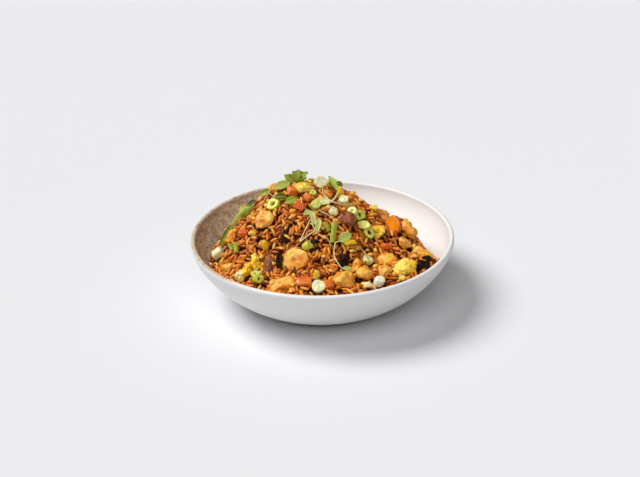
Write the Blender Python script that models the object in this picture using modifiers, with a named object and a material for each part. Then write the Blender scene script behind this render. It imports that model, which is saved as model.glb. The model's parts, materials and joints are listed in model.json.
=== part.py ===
"""Fried rice in a shallow stoneware bowl: the bowl, the heap and each piece as large as a berry.

Metres, +Z up. The origin is the middle of the foot's underside, and the eater sits towards -Y.
The rice is one solid out to its uneven outline. Each piece sits in a pocket cut for it in the rice.
"""

import math

import bmesh
import bpy
from mathutils import Matrix, Vector, noise

MM = 0.001

# The bowl, a turned coupe on a foot ring.
RIM_RADIUS = 110.0 * MM
BOWL_HEIGHT = 53.5 * MM
LIP_RADIUS = 2.1 * MM
FOOT_RADIUS = 63.5 * MM
FOOT_HEIGHT = 3.4 * MM
FOOT_WIDTH = 4.4 * MM
FOOT_EDGE = 0.7 * MM
RECESS_HEIGHT = 2.8 * MM
WALL_START_RADIUS = 62.0 * MM
FLOOR_RADIUS = 50.0 * MM
FLOOR_HEIGHT = 8.5 * MM
OUTER_FULLNESS = 1.45
INNER_FULLNESS = 1.52
WALL_STEPS = 6
LIP_STEPS = 4
BOWL_SIDES = 44

# The rice: a bed that falls towards the back, and the mounds that are heaped on it.
BED_HEIGHT = 31.0 * MM
BED_FALL = 0.14
MOUND_BLEND = 3.0
MOUND_FOOT = 1.3
MOUNDS = (
    # middle x and y, reach along x and y, height over the bed (mm), flatness of the top
    (-3.0, 12.0, 64.0, 86.0, 55.0, 3.4),
    (-34.0, 10.0, 64.0, 76.0, 48.0, 2.4),
    (54.0, 2.0, 35.0, 48.0, 33.0, 3.0),
    (70.0, -40.0, 34.0, 42.0, 15.0, 2.4),
    (-60.0, -34.0, 38.0, 50.0, 16.0, 2.4),
    (0.0, -56.0, 84.0, 54.0, 17.0, 2.4),
)
UNEVEN_HEIGHT = 1.6 * MM
UNEVEN_WIDTH = 13.0 * MM
HEAP_SIDES = 36
HEAP_RINGS = 14
WALL_GAP = 0.6 * MM

# The pieces in the rice. Each row holds the node's name, its place (x, y), its size (long, wide,
# thick), all in mm, then its turn about the heap's normal and its tip off the heap's surface in
# degrees, and its lift in mm.
POCKET_GAP = 0.35 * MM

CHICKEN = (
    ("chicken_front_left", (-21.0, -60.0), (25.0, 23.0, 18.0), 20.0, 0.0, -2.0),
    ("chicken_rim_left", (-33.0, -84.5), (23.0, 13.0, 12.0), 4.0, 0.0, -1.5),
    ("chicken_rim_right", (17.0, -84.5), (18.0, 17.0, 13.0), 30.0, 0.0, -1.0),
    ("chicken_curl", (26.5, -64.0), (15.0, 7.0, 12.0), 78.0, 0.0, 0.5),
    ("chicken_ribbed", (32.0, -76.5), (15.0, 11.5, 10.0), 10.0, 0.0, 0.0),
    ("chicken_right_middle", (52.0, -46.0), (18.0, 15.0, 11.0), 60.0, 0.0, 0.0),
    ("chicken_right_low", (48.5, -66.0), (12.0, 9.5, 9.0), 75.0, 0.0, 0.0),
    ("chicken_shoulder_back", (50.0, 6.0), (19.0, 11.0, 10.0), -12.0, 0.0, 0.0),
    ("chicken_shoulder_side", (71.5, -8.5), (19.0, 11.0, 10.0), -48.0, 0.0, 0.5),
    ("chicken_right_end", (80.5, -36.0), (21.0, 13.0, 12.0), -32.0, 0.0, 0.5),
    ("chicken_right_flank", (67.5, -27.0), (14.0, 8.5, 8.0), 5.0, 0.0, 0.0),
    ("chicken_left_top", (-47.0, -21.0), (21.0, 16.0, 9.0), -35.0, 0.0, 0.0),
    ("chicken_left_rim", (-78.0, -48.5), (18.0, 9.0, 8.5), -38.0, 0.0, -1.5),
    ("chicken_left_edge", (-76.5, -8.0), (14.0, 10.0, 9.0), 10.0, 0.0, 0.0),
    ("chicken_back_left", (-40.0, 42.0), (19.0, 14.0, 11.0), 35.0, 0.0, 0.0),
    ("chicken_back", (8.0, 62.0), (21.0, 15.0, 12.0), -20.0, 0.0, 0.0),
    ("chicken_back_right", (46.0, 40.0), (17.0, 12.0, 10.0), 70.0, 0.0, 0.0),
)
EGG = (
    ("egg_right", (65.5, -60.0), (20.0, 17.0, 13.0), 20.0, 0.0, -0.5),
    ("egg_left", (-53.5, -54.0), (19.0, 10.0, 9.0), 100.0, 0.0, 0.5),
    ("egg_left_low", (-62.5, -64.5), (16.0, 8.5, 8.0), 50.0, 0.0, 0.0),
    ("egg_crown", (-16.0, 0.0), (15.0, 11.0, 9.0), 65.0, 0.0, 1.0),
    ("egg_shoulder", (46.0, -20.0), (11.0, 10.0, 9.0), 30.0, 0.0, 1.0),
    ("egg_back", (-14.0, 52.0), (15.0, 11.0, 9.0), 15.0, 0.0, 0.5),
)
BEEF = (
    ("beef_left", (-42.0, -56.5), (22.0, 9.0, 11.0), 92.0, 0.0, -1.0),
    ("beef_crown", (20.0, -28.0), (13.0, 11.5, 9.0), 30.0, 0.0, -0.5),
    ("mushroom_middle", (15.0, -63.5), (14.0, 9.5, 8.0), 80.0, 0.0, -0.6),
    ("mushroom_right", (80.5, -54.0), (13.0, 9.0, 8.0), 30.0, 0.0, -1.0),
)
CARROT = (("carrot_slice", (58.5, -12.5), (17.0, 15.0, 4.0), -52.0, 66.0, 2.0),)
PEPPER = (("pepper_front", (-15.0, -86.3), (12.0, 7.5, 5.0), 8.0, 10.0, 0.0),)
ONION_STALKS = (
    ("onion_white_left", (-84.5, -18.0), (9.2, 9.2, 9.0), 15.0, 40.0, 2.5),
    ("onion_white_front", (-3.5, -93.0), (10.8, 10.0, 6.5), 0.0, 28.0, 0.5),
    ("onion_white_crown", (-2.0, 17.0), (10.5, 10.0, 7.0), 0.0, 55.0, 3.0),
    ("onion_green_crown", (9.5, 25.0), (10.0, 9.0, 6.0), 0.0, 40.0, 3.0),
    ("onion_cube_front", (43.5, -82.0), (9.0, 8.0, 7.0), 35.0, 10.0, 0.5),
)
ONION_RINGS = (
    ("onion_ring_back", (-52.0, 60.0), (11.0, 10.0, 5.5), 0.0, 0.0, 1.0),
    ("onion_ring_left", (-38.5, -14.0), (11.5, 10.5, 5.0), 0.0, 10.0, 1.0),
    ("onion_ring_browned", (-62.5, 8.0), (10.0, 9.5, 6.0), 0.0, 25.0, 1.0),
    ("onion_ring_middle", (35.5, -52.0), (11.0, 9.0, 5.0), 80.0, 12.0, 1.0),
    ("onion_ring_right", (29.5, -16.0), (11.0, 9.0, 6.0), 30.0, 20.0, 1.0),
    ("onion_ring_right_low", (37.5, -25.0), (10.5, 8.5, 5.5), -30.0, 15.0, 0.5),
)
ONION_HOLE = 0.42
STALK_SIDES = 9
STALK_EDGE = 0.7 * MM
CARROT_SIDES = 14
CARROT_EDGE = 0.8 * MM
PEPPER_EDGE = 1.2 * MM

# How blocky a lump is (2 is an ellipsoid) and how far noise pushes it in and out.
CHICKEN_FORM = (2.6, 0.42)
EGG_FORM = (2.1, 0.95)
BEEF_FORM = (2.8, 0.5)
CUT_PLACE = 0.40
CUT_TILT = (0.3, 0.25)

COLOURS = {
    "stoneware": ((0.82, 0.81, 0.79), 0.35),
    "rice": ((0.42, 0.17, 0.04), 0.45),
    "chicken": ((0.65, 0.33, 0.11), 0.40),
    "egg": ((0.85, 0.62, 0.15), 0.45),
    "beef": ((0.11, 0.05, 0.03), 0.45),
    "carrot": ((0.80, 0.24, 0.02), 0.35),
    "pepper": ((0.72, 0.08, 0.01), 0.30),
    "onion": ((0.66, 0.74, 0.34), 0.35),
}


def clear_scene():
    for obj in list(bpy.data.objects):
        bpy.data.objects.remove(obj)


def new_collection(name):
    collection = bpy.data.collections.new(name)
    bpy.context.scene.collection.children.link(collection)
    return collection


def make_material(name):
    colour, roughness = COLOURS[name]
    material = bpy.data.materials.new(name)
    material.use_nodes = True
    surface = material.node_tree.nodes["Principled BSDF"]
    surface.inputs["Base Color"].default_value = (*colour, 1.0)
    surface.inputs["Roughness"].default_value = roughness
    return material


def add_object(name, shape, material, collection):
    """A new object from a bmesh, which is freed."""
    mesh = bpy.data.meshes.new(name)
    shape.to_mesh(mesh)
    shape.free()
    mesh.materials.append(material)
    mesh.shade_smooth()
    obj = bpy.data.objects.new(name, mesh)
    collection.objects.link(obj)
    return obj


# ---------------------------------------------------------------- bowl


def wall_curve(start_radius, start_height, rim_radius, fullness, steps):
    """Points of a bowl's wall from the rim down to the floor, a quarter of a superellipse."""
    top = BOWL_HEIGHT - LIP_RADIUS
    points = []
    for step in range(steps + 1):
        turn = 0.5 * math.pi * step / steps
        radius = start_radius + (rim_radius - start_radius) * max(math.cos(turn), 0.0) ** (2 / fullness)
        height = top - (top - start_height) * math.sin(turn) ** (2 / fullness)
        points.append((radius, height))
    return points


def inner_wall():
    """The inner wall's points from the rim down to the floor."""
    inner_rim = RIM_RADIUS - 2 * LIP_RADIUS
    return wall_curve(FLOOR_RADIUS, FLOOR_HEIGHT, inner_rim, INNER_FULLNESS, WALL_STEPS)


def inner_wall_height(radius):
    """Height of the bowl's inner surface at this distance from its axis."""
    wall = inner_wall()
    for (outer, high), (inner, low) in zip(wall, wall[1:]):
        if inner <= radius <= outer:
            return low + (high - low) * (radius - inner) / (outer - inner)
    return FLOOR_HEIGHT


def bowl_profile():
    """The closed outline from the floor's middle, over the lip and down to the recess's middle."""
    inner = inner_wall()
    outer = wall_curve(WALL_START_RADIUS, FOOT_HEIGHT, RIM_RADIUS, OUTER_FULLNESS, WALL_STEPS)
    points = [(0.0, FLOOR_HEIGHT)]
    points += reversed(inner[1:])
    for step in range(LIP_STEPS + 1):
        turn = math.pi * (1 - step / LIP_STEPS)
        radius = RIM_RADIUS - LIP_RADIUS + LIP_RADIUS * math.cos(turn)
        points.append((radius, BOWL_HEIGHT - LIP_RADIUS + LIP_RADIUS * math.sin(turn)))
    points += [point for point in outer[1:] if point[0] > FOOT_RADIUS + FOOT_EDGE]
    points += [
        (FOOT_RADIUS, FOOT_HEIGHT),
        (FOOT_RADIUS, FOOT_EDGE),
        (FOOT_RADIUS - FOOT_EDGE, 0.0),
        (FOOT_RADIUS - FOOT_WIDTH + FOOT_EDGE, 0.0),
        (FOOT_RADIUS - FOOT_WIDTH, FOOT_EDGE),
        (FOOT_RADIUS - FOOT_WIDTH - FOOT_EDGE, RECESS_HEIGHT),
        (0.0, RECESS_HEIGHT),
    ]
    return points


def make_bowl(collection):
    shape = bmesh.new()
    verts = [shape.verts.new((radius, 0.0, height)) for radius, height in bowl_profile()]
    for first, second in zip(verts, verts[1:]):
        shape.edges.new((first, second))
    bowl = add_object("bowl", shape, make_material("stoneware"), collection)
    turn = bowl.modifiers.new("turn", "SCREW")
    turn.steps = BOWL_SIDES
    turn.render_steps = BOWL_SIDES
    turn.use_merge_vertices = True
    turn.merge_threshold = 0.05 * MM
    return bowl


# ---------------------------------------------------------------- rice


def mound_height(x, y, mound):
    middle_x, middle_y, reach_x, reach_y, height, flatness = mound
    away = math.hypot((x / MM - middle_x) / reach_x, (y / MM - middle_y) / reach_y)
    return height * MM * (1.0 - min(away, 1.0) ** flatness) ** MOUND_FOOT


def heap_height(x, y):
    """Height of the rice over the table at (x, y)."""
    bed = BED_HEIGHT - BED_FALL * y
    heaped = sum(mound_height(x, y, mound) ** MOUND_BLEND for mound in MOUNDS) ** (1 / MOUND_BLEND)
    uneven = UNEVEN_HEIGHT * noise.noise(Vector((x, y, 0.0)) / UNEVEN_WIDTH)
    return bed + heaped + uneven


def heap_underside(radius):
    """Height of the rice's underside, clear of the bowl both downwards and outwards."""
    return inner_wall_height(radius + WALL_GAP) + WALL_GAP


def heap_edge(turn):
    """How far from the bowl's axis the rice meets the wall in this direction."""
    near, far = FLOOR_RADIUS, RIM_RADIUS - 2 * LIP_RADIUS - WALL_GAP
    for _ in range(40):
        radius = (near + far) / 2
        rice = heap_height(radius * math.cos(turn), radius * math.sin(turn))
        if rice > heap_underside(radius):
            near = radius
        else:
            far = radius
    return near


def make_heap(collection):
    """A sphere whose upper half is laid on the heap's surface and whose lower half on the bowl."""
    shape = bmesh.new()
    bmesh.ops.create_uvsphere(shape, u_segments=HEAP_SIDES, v_segments=HEAP_RINGS, radius=1.0)
    for vert in shape.verts:
        share = min(math.hypot(vert.co.x, vert.co.y), 1.0)
        turn = math.atan2(vert.co.y, vert.co.x)
        radius = heap_edge(turn) * share
        x, y = radius * math.cos(turn), radius * math.sin(turn)
        on_top = vert.co.z > -1e-4
        height = heap_height(x, y) if on_top else heap_underside(radius)
        vert.co = (x, y, height)
    return add_object("rice_heap", shape, make_material("rice"), collection)


# ---------------------------------------------------------------- pieces in the rice


def surface_frame(x, y, turn, tip, lift):
    """Where a piece lies on the rice: its Z is the surface's normal, tipped towards the eater."""
    step = 4 * MM
    slope_x = (heap_height(x + step, y) - heap_height(x - step, y)) / (2 * step)
    slope_y = (heap_height(x, y + step) - heap_height(x, y - step)) / (2 * step)
    normal = Vector((-slope_x, -slope_y, 1.0)).normalized()
    across = Vector((0.0, 1.0, 0.0)).cross(normal).normalized()
    along = normal.cross(across)
    axes = Matrix((across, along, normal)).transposed()
    place = Vector((x, y, heap_height(x, y))) + normal * lift
    tipped = Matrix.Rotation(math.radians(tip), 4, "X")
    turned = Matrix.Rotation(math.radians(turn), 4, "Z")
    return Matrix.Translation(place) @ axes.to_4x4() @ turned @ tipped


def lump(size, seed, squareness, roughness):
    """A cut and cooked piece: a rounded block pushed in and out by noise, then cut by the knife."""
    shape = bmesh.new()
    bmesh.ops.create_icosphere(shape, subdivisions=2, radius=1.0)
    for vert in shape.verts:
        way = vert.co.normalized()
        block = sum(abs(part) ** squareness for part in way) ** (-1 / squareness)
        push = 1.0 + roughness * noise.noise(way * 1.6 + Vector((seed * 7.3, seed * 3.1, 0.0)))
        vert.co = way * block * push
    low = Vector([min(vert.co[axis] for vert in shape.verts) for axis in range(3)])
    high = Vector([max(vert.co[axis] for vert in shape.verts) for axis in range(3)])
    middle = (low + high) / 2
    for vert in shape.verts:
        vert.co = [(vert.co[i] - middle[i]) * size[i] / (high[i] - low[i]) for i in range(3)]
    return shape


def knife_cut(shape, middle, normal):
    """Takes off what lies past a flat cut and closes the face that it leaves."""
    geometry = shape.verts[:] + shape.edges[:] + shape.faces[:]
    cut = bmesh.ops.bisect_plane(
        shape, geom=geometry, plane_co=middle, plane_no=normal, clear_outer=True
    )
    edges = [item for item in cut["geom_cut"] if isinstance(item, bmesh.types.BMEdge)]
    bmesh.ops.contextual_create(shape, geom=edges)
    bmesh.ops.recalc_face_normals(shape, faces=shape.faces)


def meat_chunk(size, seed):
    shape = lump(size, seed, *CHICKEN_FORM)
    side = 1 if seed % 2 else -1
    middle = Vector((side * CUT_PLACE * size[0], 0.0, 0.0))
    knife_cut(shape, middle, Vector((side, *CUT_TILT)).normalized())
    return shape


def egg_curd(size, seed):
    return lump(size, seed + 20, *EGG_FORM)


def beef_piece(size, seed):
    return lump(size, seed + 40, *BEEF_FORM)


def slice_with_edge(size, sides, edge):
    """A cylinder of an oval outline with softened edges."""
    shape = bmesh.new()
    bmesh.ops.create_cone(shape, segments=sides, radius1=0.5, radius2=0.5, depth=1.0, cap_ends=True)
    bmesh.ops.scale(shape, vec=size, verts=shape.verts)
    rims = [e for e in shape.edges if any(len(face.verts) > 4 for face in e.link_faces)]
    bmesh.ops.bevel(
        shape, geom=rims, offset=edge, segments=1, profile=0.5, affect="EDGES", material=-1
    )
    return shape


def carrot_disc(size, _seed):
    return slice_with_edge(size, CARROT_SIDES, CARROT_EDGE)


def onion_stalk(size, _seed):
    return slice_with_edge(size, STALK_SIDES, STALK_EDGE)


def pepper_dice(size, _seed):
    shape = bmesh.new()
    bmesh.ops.create_cube(shape, size=1.0)
    bmesh.ops.scale(shape, vec=size, verts=shape.verts)
    bmesh.ops.bevel(
        shape,
        geom=shape.edges[:],
        offset=PEPPER_EDGE,
        segments=1,
        profile=0.5,
        affect="EDGES",
        material=-1,
    )
    return shape


def onion_ring(size, _seed):
    """A tube with rounded ends: a small pentagon spun round the hole."""
    wall = 0.5 * (1.0 - ONION_HOLE)
    shape = bmesh.new()
    bmesh.ops.create_circle(shape, segments=5, radius=0.5)
    for vert in shape.verts:
        vert.co = (ONION_HOLE / 2 + wall / 2 + vert.co.x * wall, 0.0, vert.co.y)
    bmesh.ops.spin(
        shape,
        geom=shape.verts[:] + shape.edges[:],
        cent=(0, 0, 0),
        axis=(0, 0, 1),
        angle=math.tau,
        steps=STALK_SIDES,
        use_merge=True,
    )
    bmesh.ops.remove_doubles(shape, verts=shape.verts, dist=1e-4)
    bmesh.ops.recalc_face_normals(shape, faces=shape.faces)
    bmesh.ops.scale(shape, vec=size, verts=shape.verts)
    return shape


def add_pieces(rows, make_shape, material, pieces, cutters):
    """Lays each piece on the rice, and beside it a slightly fatter copy that cuts its pocket."""
    for seed, (name, (x, y), size, turn, tip, lift) in enumerate(rows, 1):
        lengths = Vector(size) * MM
        placed = surface_frame(x * MM, y * MM, turn, tip, lift * MM)
        piece = add_object(name, make_shape(lengths, seed), material, pieces)
        piece.matrix_world = placed
        fatter = bmesh.new()
        fatter.from_mesh(piece.data)
        fatter.normal_update()
        for vert in fatter.verts:
            vert.co += vert.normal * POCKET_GAP
        cutter = add_object(name + "_pocket", fatter, material, cutters)
        cutter.matrix_world = placed
        cutter.hide_render = True
        cutter.display_type = "WIRE"


def cut_pockets(heap, cutters):
    pockets = heap.modifiers.new("pockets", "BOOLEAN")
    pockets.operation = "DIFFERENCE"
    pockets.operand_type = "COLLECTION"
    pockets.collection = cutters
    pockets.solver = "EXACT"


def main():
    clear_scene()
    dish = new_collection("fried_rice_bowl")
    cutters = new_collection("pocket_cutters")
    cutters.hide_render = True
    make_bowl(dish)
    heap = make_heap(dish)
    add_pieces(CHICKEN, meat_chunk, make_material("chicken"), dish, cutters)
    add_pieces(EGG, egg_curd, make_material("egg"), dish, cutters)
    add_pieces(BEEF, beef_piece, make_material("beef"), dish, cutters)
    add_pieces(CARROT, carrot_disc, make_material("carrot"), dish, cutters)
    add_pieces(PEPPER, pepper_dice, make_material("pepper"), dish, cutters)
    onion = make_material("onion")
    add_pieces(ONION_STALKS, onion_stalk, onion, dish, cutters)
    add_pieces(ONION_RINGS, onion_ring, onion, dish, cutters)
    cut_pockets(heap, cutters)


main()
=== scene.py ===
"""Fried rice in a speckled stoneware bowl: the looks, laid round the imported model.

Metres, +Z up, with -Y towards the eater. Sizes with an MM factor are in millimetres.
"""

import json
import math

import bmesh
import bpy
import numpy as np
from mathutils import Euler, Matrix, Vector, noise
from mathutils.bvhtree import BVHTree

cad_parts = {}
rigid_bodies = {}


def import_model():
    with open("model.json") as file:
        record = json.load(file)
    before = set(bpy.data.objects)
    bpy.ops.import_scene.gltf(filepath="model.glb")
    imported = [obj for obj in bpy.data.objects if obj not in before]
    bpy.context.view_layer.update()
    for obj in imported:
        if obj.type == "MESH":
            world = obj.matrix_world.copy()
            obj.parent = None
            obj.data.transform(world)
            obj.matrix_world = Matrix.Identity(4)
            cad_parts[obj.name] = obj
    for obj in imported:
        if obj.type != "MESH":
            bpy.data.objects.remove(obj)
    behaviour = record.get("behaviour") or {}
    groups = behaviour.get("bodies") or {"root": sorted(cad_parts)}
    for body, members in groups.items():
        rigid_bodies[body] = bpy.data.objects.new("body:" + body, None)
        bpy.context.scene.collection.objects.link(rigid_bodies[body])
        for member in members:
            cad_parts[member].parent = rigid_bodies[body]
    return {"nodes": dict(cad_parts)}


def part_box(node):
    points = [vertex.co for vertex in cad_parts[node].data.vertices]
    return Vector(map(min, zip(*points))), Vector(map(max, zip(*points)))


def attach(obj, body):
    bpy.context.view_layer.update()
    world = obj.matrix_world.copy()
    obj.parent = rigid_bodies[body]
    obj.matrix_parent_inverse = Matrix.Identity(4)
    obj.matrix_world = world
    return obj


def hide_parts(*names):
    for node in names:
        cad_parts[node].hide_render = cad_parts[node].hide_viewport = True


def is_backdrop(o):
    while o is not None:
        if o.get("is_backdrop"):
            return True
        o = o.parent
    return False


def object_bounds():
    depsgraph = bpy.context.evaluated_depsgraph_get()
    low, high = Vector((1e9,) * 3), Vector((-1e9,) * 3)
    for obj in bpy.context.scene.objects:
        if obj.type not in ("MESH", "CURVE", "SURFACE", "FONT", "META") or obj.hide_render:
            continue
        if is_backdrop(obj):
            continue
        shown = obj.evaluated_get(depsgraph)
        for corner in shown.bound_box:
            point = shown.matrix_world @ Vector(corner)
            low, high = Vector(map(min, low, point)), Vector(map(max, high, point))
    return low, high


for leftover in list(bpy.data.objects):
    bpy.data.objects.remove(leftover)

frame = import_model()
cad_low, cad_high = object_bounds()

MM = 0.001


# ---------------------------------------------------------------------------------------------
# The bowl: thrown stoneware, a coupe on a foot ring. Its satin glaze is off-white, and on the
# left it thins to bare speckled clay inside and along the lip. The outside is painted a greyer
# white and the foot ring a dark grey: painted shade for the outer wall and the foot.
# ---------------------------------------------------------------------------------------------

bowl_low, bowl_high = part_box("bowl")
RIM_RADIUS = bowl_high.x
RIM_HEIGHT = bowl_high.z
LIP_RADIUS = 2.1 * MM
FOOT_RADIUS = 63.5 * MM
FOOT_HEIGHT = 3.4 * MM
FOOT_WIDTH = 4.4 * MM
FOOT_EDGE = 1.1 * MM
RECESS_HEIGHT = 2.8 * MM
WALL_START_RADIUS = 62.0 * MM
FLOOR_RADIUS = 50.0 * MM
FLOOR_HEIGHT = 8.5 * MM
OUTER_FULLNESS = 1.45
INNER_FULLNESS = 1.52
BOWL_SIDES = 144
WALL_STEPS = 22
LIP_STEPS = 8

GLAZE_WHITE = (0.90, 0.89, 0.87)
GLAZE_OUTSIDE_PAINTED_SHADE = (0.78, 0.78, 0.775)
GLAZE_ROSE = (0.90, 0.85, 0.79)
CLAY_TAUPE = (0.50, 0.385, 0.24)
CLAY_PALE = (0.86, 0.74, 0.54)
CLAY_DARK = (0.16, 0.105, 0.06)
LIP_BEIGE = (0.66, 0.53, 0.40)
LIP_TAN = (0.38, 0.22, 0.11)
FOOT_PAINTED_SHADE = (0.34, 0.33, 0.31)


class Wire:
    """A shader socket that takes part in Python arithmetic by adding Math nodes."""

    def __init__(self, socket):
        self.socket = socket
        self.tree = socket.id_data

    def join(self, target, value):
        """Links a wire to a socket, or sets the socket to a plain value."""
        if isinstance(value, Wire):
            self.tree.links.new(value.socket, target)
        elif isinstance(value, tuple) and target.type == "RGBA":
            target.default_value = (*value, 1.0)
        else:
            target.default_value = value

    def node(self, kind, settings=None, sockets=None, output=0):
        """Adds a node: its settings first, then its sockets by name or number."""
        added = self.tree.nodes.new("ShaderNode" + kind)
        for key, value in (settings or {}).items():
            if key == "stops":
                ramp = added.color_ramp
                while len(ramp.elements) < len(value):
                    ramp.elements.new(0.5)
                for element, (place, colour) in zip(ramp.elements, value):
                    element.position = place
                    element.color = (*colour, 1.0)
            else:
                setattr(added, key, value)
        for key, value in (sockets or {}).items():
            self.join(added.inputs[key], value)
        return Wire(added.outputs[output])

    def math(self, operation, first, second):
        return self.node("Math", {"operation": operation}, {0: first, 1: second})

    def __add__(self, other):
        return self.math("ADD", self, other)

    def __radd__(self, other):
        return self.math("ADD", other, self)

    def __sub__(self, other):
        return self.math("SUBTRACT", self, other)

    def __rsub__(self, other):
        return self.math("SUBTRACT", other, self)

    def __mul__(self, other):
        return self.math("MULTIPLY", self, other)

    def __rmul__(self, other):
        return self.math("MULTIPLY", other, self)

    def __truediv__(self, other):
        return self.math("DIVIDE", self, other)

    def ease(self, low, high):
        """0 where this is below low, 1 above high, and smooth between."""
        smooth = {"interpolation_type": "SMOOTHSTEP"}
        return self.node("MapRange", smooth, {"Value": self, "From Min": low, "From Max": high})

    def mix(self, first, second, how="MIX"):
        """The first colour where this is 0 and the second where it is 1."""
        kind = {"data_type": "RGBA", "blend_type": how}
        return self.node("Mix", kind, {0: self, 6: first, 7: second}, output=2)

    def ramp(self, *stops):
        """A colour picked along a row of (place, colour) stops."""
        return self.node("ValToRGB", {"stops": stops}, {"Fac": self})

    def noise(self, size, detail=2.0, roughness=0.5):
        """Noise with patches of about this size, in metres, on this pattern vector."""
        wanted = {"Vector": self, "Scale": 0.5 / size, "Detail": detail, "Roughness": roughness}
        return self.node("TexNoise", None, wanted)

    def stretched(self, x, y, z):
        """This pattern vector with each axis scaled."""
        return self.node("VectorMath", {"operation": "MULTIPLY"}, {0: self, 1: (x, y, z)})


def new_material(name, **fixed):
    """A Principled material with its fixed values, and Object coordinates to draw patterns on."""
    material = bpy.data.materials.new(name)
    material.use_nodes = True
    nodes = material.node_tree.nodes
    surface = nodes["Principled BSDF"]
    for key, value in fixed.items():
        surface.inputs[key.replace("_", " ")].default_value = value
    return material, surface, Wire(nodes.new("ShaderNodeTexCoord").outputs["Object"])


def feed(surface, **wires):
    """Links the shader's sockets to what has been worked out for them."""
    for key, wire in wires.items():
        wire.join(surface.inputs[key.replace("_", " ")], wire)


def relief(surface, height, distance, strength=1.0):
    """Raises the surface's shading by a height of 0 to 1 times this distance, in metres."""
    sockets = {"Strength": strength, "Distance": distance, "Height": height}
    feed(surface, Normal=height.node("Bump", None, sockets))


def mesh_object(name, shape, *materials):
    """A shown, smooth object made from a bmesh, which is freed."""
    mesh = bpy.data.meshes.new(name)
    shape.to_mesh(mesh)
    shape.free()
    for material in materials:
        mesh.materials.append(material)
    mesh.shade_smooth()
    obj = bpy.data.objects.new(name, mesh)
    bpy.context.scene.collection.objects.link(obj)
    return obj


def superellipse(start_radius, start_height, rim_radius, fullness):
    """A bowl's wall from the rim down to the floor."""
    top = RIM_HEIGHT - LIP_RADIUS
    for step in range(WALL_STEPS + 1):
        turn = 0.5 * math.pi * step / WALL_STEPS
        out = max(math.cos(turn), 0.0) ** (2 / fullness)
        down = math.sin(turn) ** (2 / fullness)
        yield start_radius + (rim_radius - start_radius) * out, top - (top - start_height) * down


inner_rim = RIM_RADIUS - 2 * LIP_RADIUS
inner_wall = list(superellipse(FLOOR_RADIUS, FLOOR_HEIGHT, inner_rim, INNER_FULLNESS))
outer_wall = list(superellipse(WALL_START_RADIUS, FOOT_HEIGHT, RIM_RADIUS, OUTER_FULLNESS))
lip = []
for step in range(LIP_STEPS + 1):
    turn = math.pi * (1 - step / LIP_STEPS)
    out = RIM_RADIUS - LIP_RADIUS + LIP_RADIUS * math.cos(turn)
    lip.append((out, RIM_HEIGHT - LIP_RADIUS + LIP_RADIUS * math.sin(turn)))
foot_inside = FOOT_RADIUS - FOOT_WIDTH
foot = [
    (FOOT_RADIUS, FOOT_HEIGHT + 0.2 * MM),
    (FOOT_RADIUS - 0.1 * MM, FOOT_EDGE),
    (FOOT_RADIUS - 0.4 * FOOT_EDGE, 0.25 * FOOT_EDGE),
    (FOOT_RADIUS - FOOT_EDGE, 0.0),
    (foot_inside + FOOT_EDGE, 0.0),
    (foot_inside + 0.4 * FOOT_EDGE, 0.25 * FOOT_EDGE),
    (foot_inside - 0.6 * MM, RECESS_HEIGHT),
    (0.0, RECESS_HEIGHT),
]
outer_wall = [point for point in outer_wall[1:] if point[0] > FOOT_RADIUS + 0.5 * MM]
profile = [(0.0, FLOOR_HEIGHT), *reversed(inner_wall[1:]), *lip, *outer_wall, *foot]

shape = bmesh.new()
corners = [shape.verts.new((out, 0.0, height)) for out, height in profile]
for first, second in zip(corners, corners[1:]):
    shape.edges.new((first, second))
bmesh.ops.spin(
    shape,
    geom=shape.verts[:] + shape.edges[:],
    cent=(0, 0, 0),
    axis=(0, 0, 1),
    angle=math.tau,
    steps=BOWL_SIDES,
    use_merge=True,
)
bmesh.ops.remove_doubles(shape, verts=shape.verts, dist=0.01 * MM)
bmesh.ops.recalc_face_normals(shape, faces=shape.faces)
# The glaze's two sides meet on the lip: 1 is the eating side and 0 the outside.
side = shape.verts.layers.float.new("eating_side")
for vert in shape.verts:
    away = Vector((vert.co.x, vert.co.y, 0.0)).normalized()
    faces_in = vert.normal.z - vert.normal.dot(away)
    vert[side] = min(max(0.5 + faces_in, 0.0), 1.0)

glaze, surface, place = new_material("speckled_glaze", Roughness=0.45, IOR=1.48)
axes = place.node("SeparateXYZ", None, {0: place})
across, depth, up = axes, Wire(axes.socket.node.outputs[1]), Wire(axes.socket.node.outputs[2])
eating_side = place.node("Attribute", {"attribute_name": "eating_side"}, output=2)
drift = (place.noise(22 * MM, 3.0) - 0.5) * 0.05
edge = across - depth * 0.05 + drift
clay = (1 - edge.ease(-0.080, -0.042)) * eating_side.ease(0.35, 0.75)
on_lip = up.ease(RIM_HEIGHT - 4.6 * MM, RIM_HEIGHT - 2.4 * MM)
bare_lip = on_lip * (1 - (across + drift).ease(-0.085, -0.040)) * eating_side.ease(0.02, 0.3)
blush = (1 - (across + drift).ease(-0.05, 0.03)) * eating_side.ease(0.1, 0.6)
speck = place.noise(1.1 * MM, 3.0, 0.65).ease(0.57, 0.66)
mottle = place.noise(3 * MM, 5.0, 0.7).ease(0.38, 0.62)
clay_colour = speck.mix(mottle.mix(CLAY_TAUPE, CLAY_PALE), CLAY_DARK)
lip_speck = place.noise(1.3 * MM, 2.0, 0.6).ease(0.52, 0.66)
lip_colour = lip_speck.mix(LIP_BEIGE, LIP_TAN)
# The outside is a greyer white than the eating side: painted shade for the outer wall.
white = eating_side.ease(0.05, 0.3).mix(GLAZE_OUTSIDE_PAINTED_SHADE, GLAZE_WHITE)
colour = bare_lip.mix(clay.mix(blush.mix(white, GLAZE_ROSE), clay_colour), lip_colour)
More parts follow.
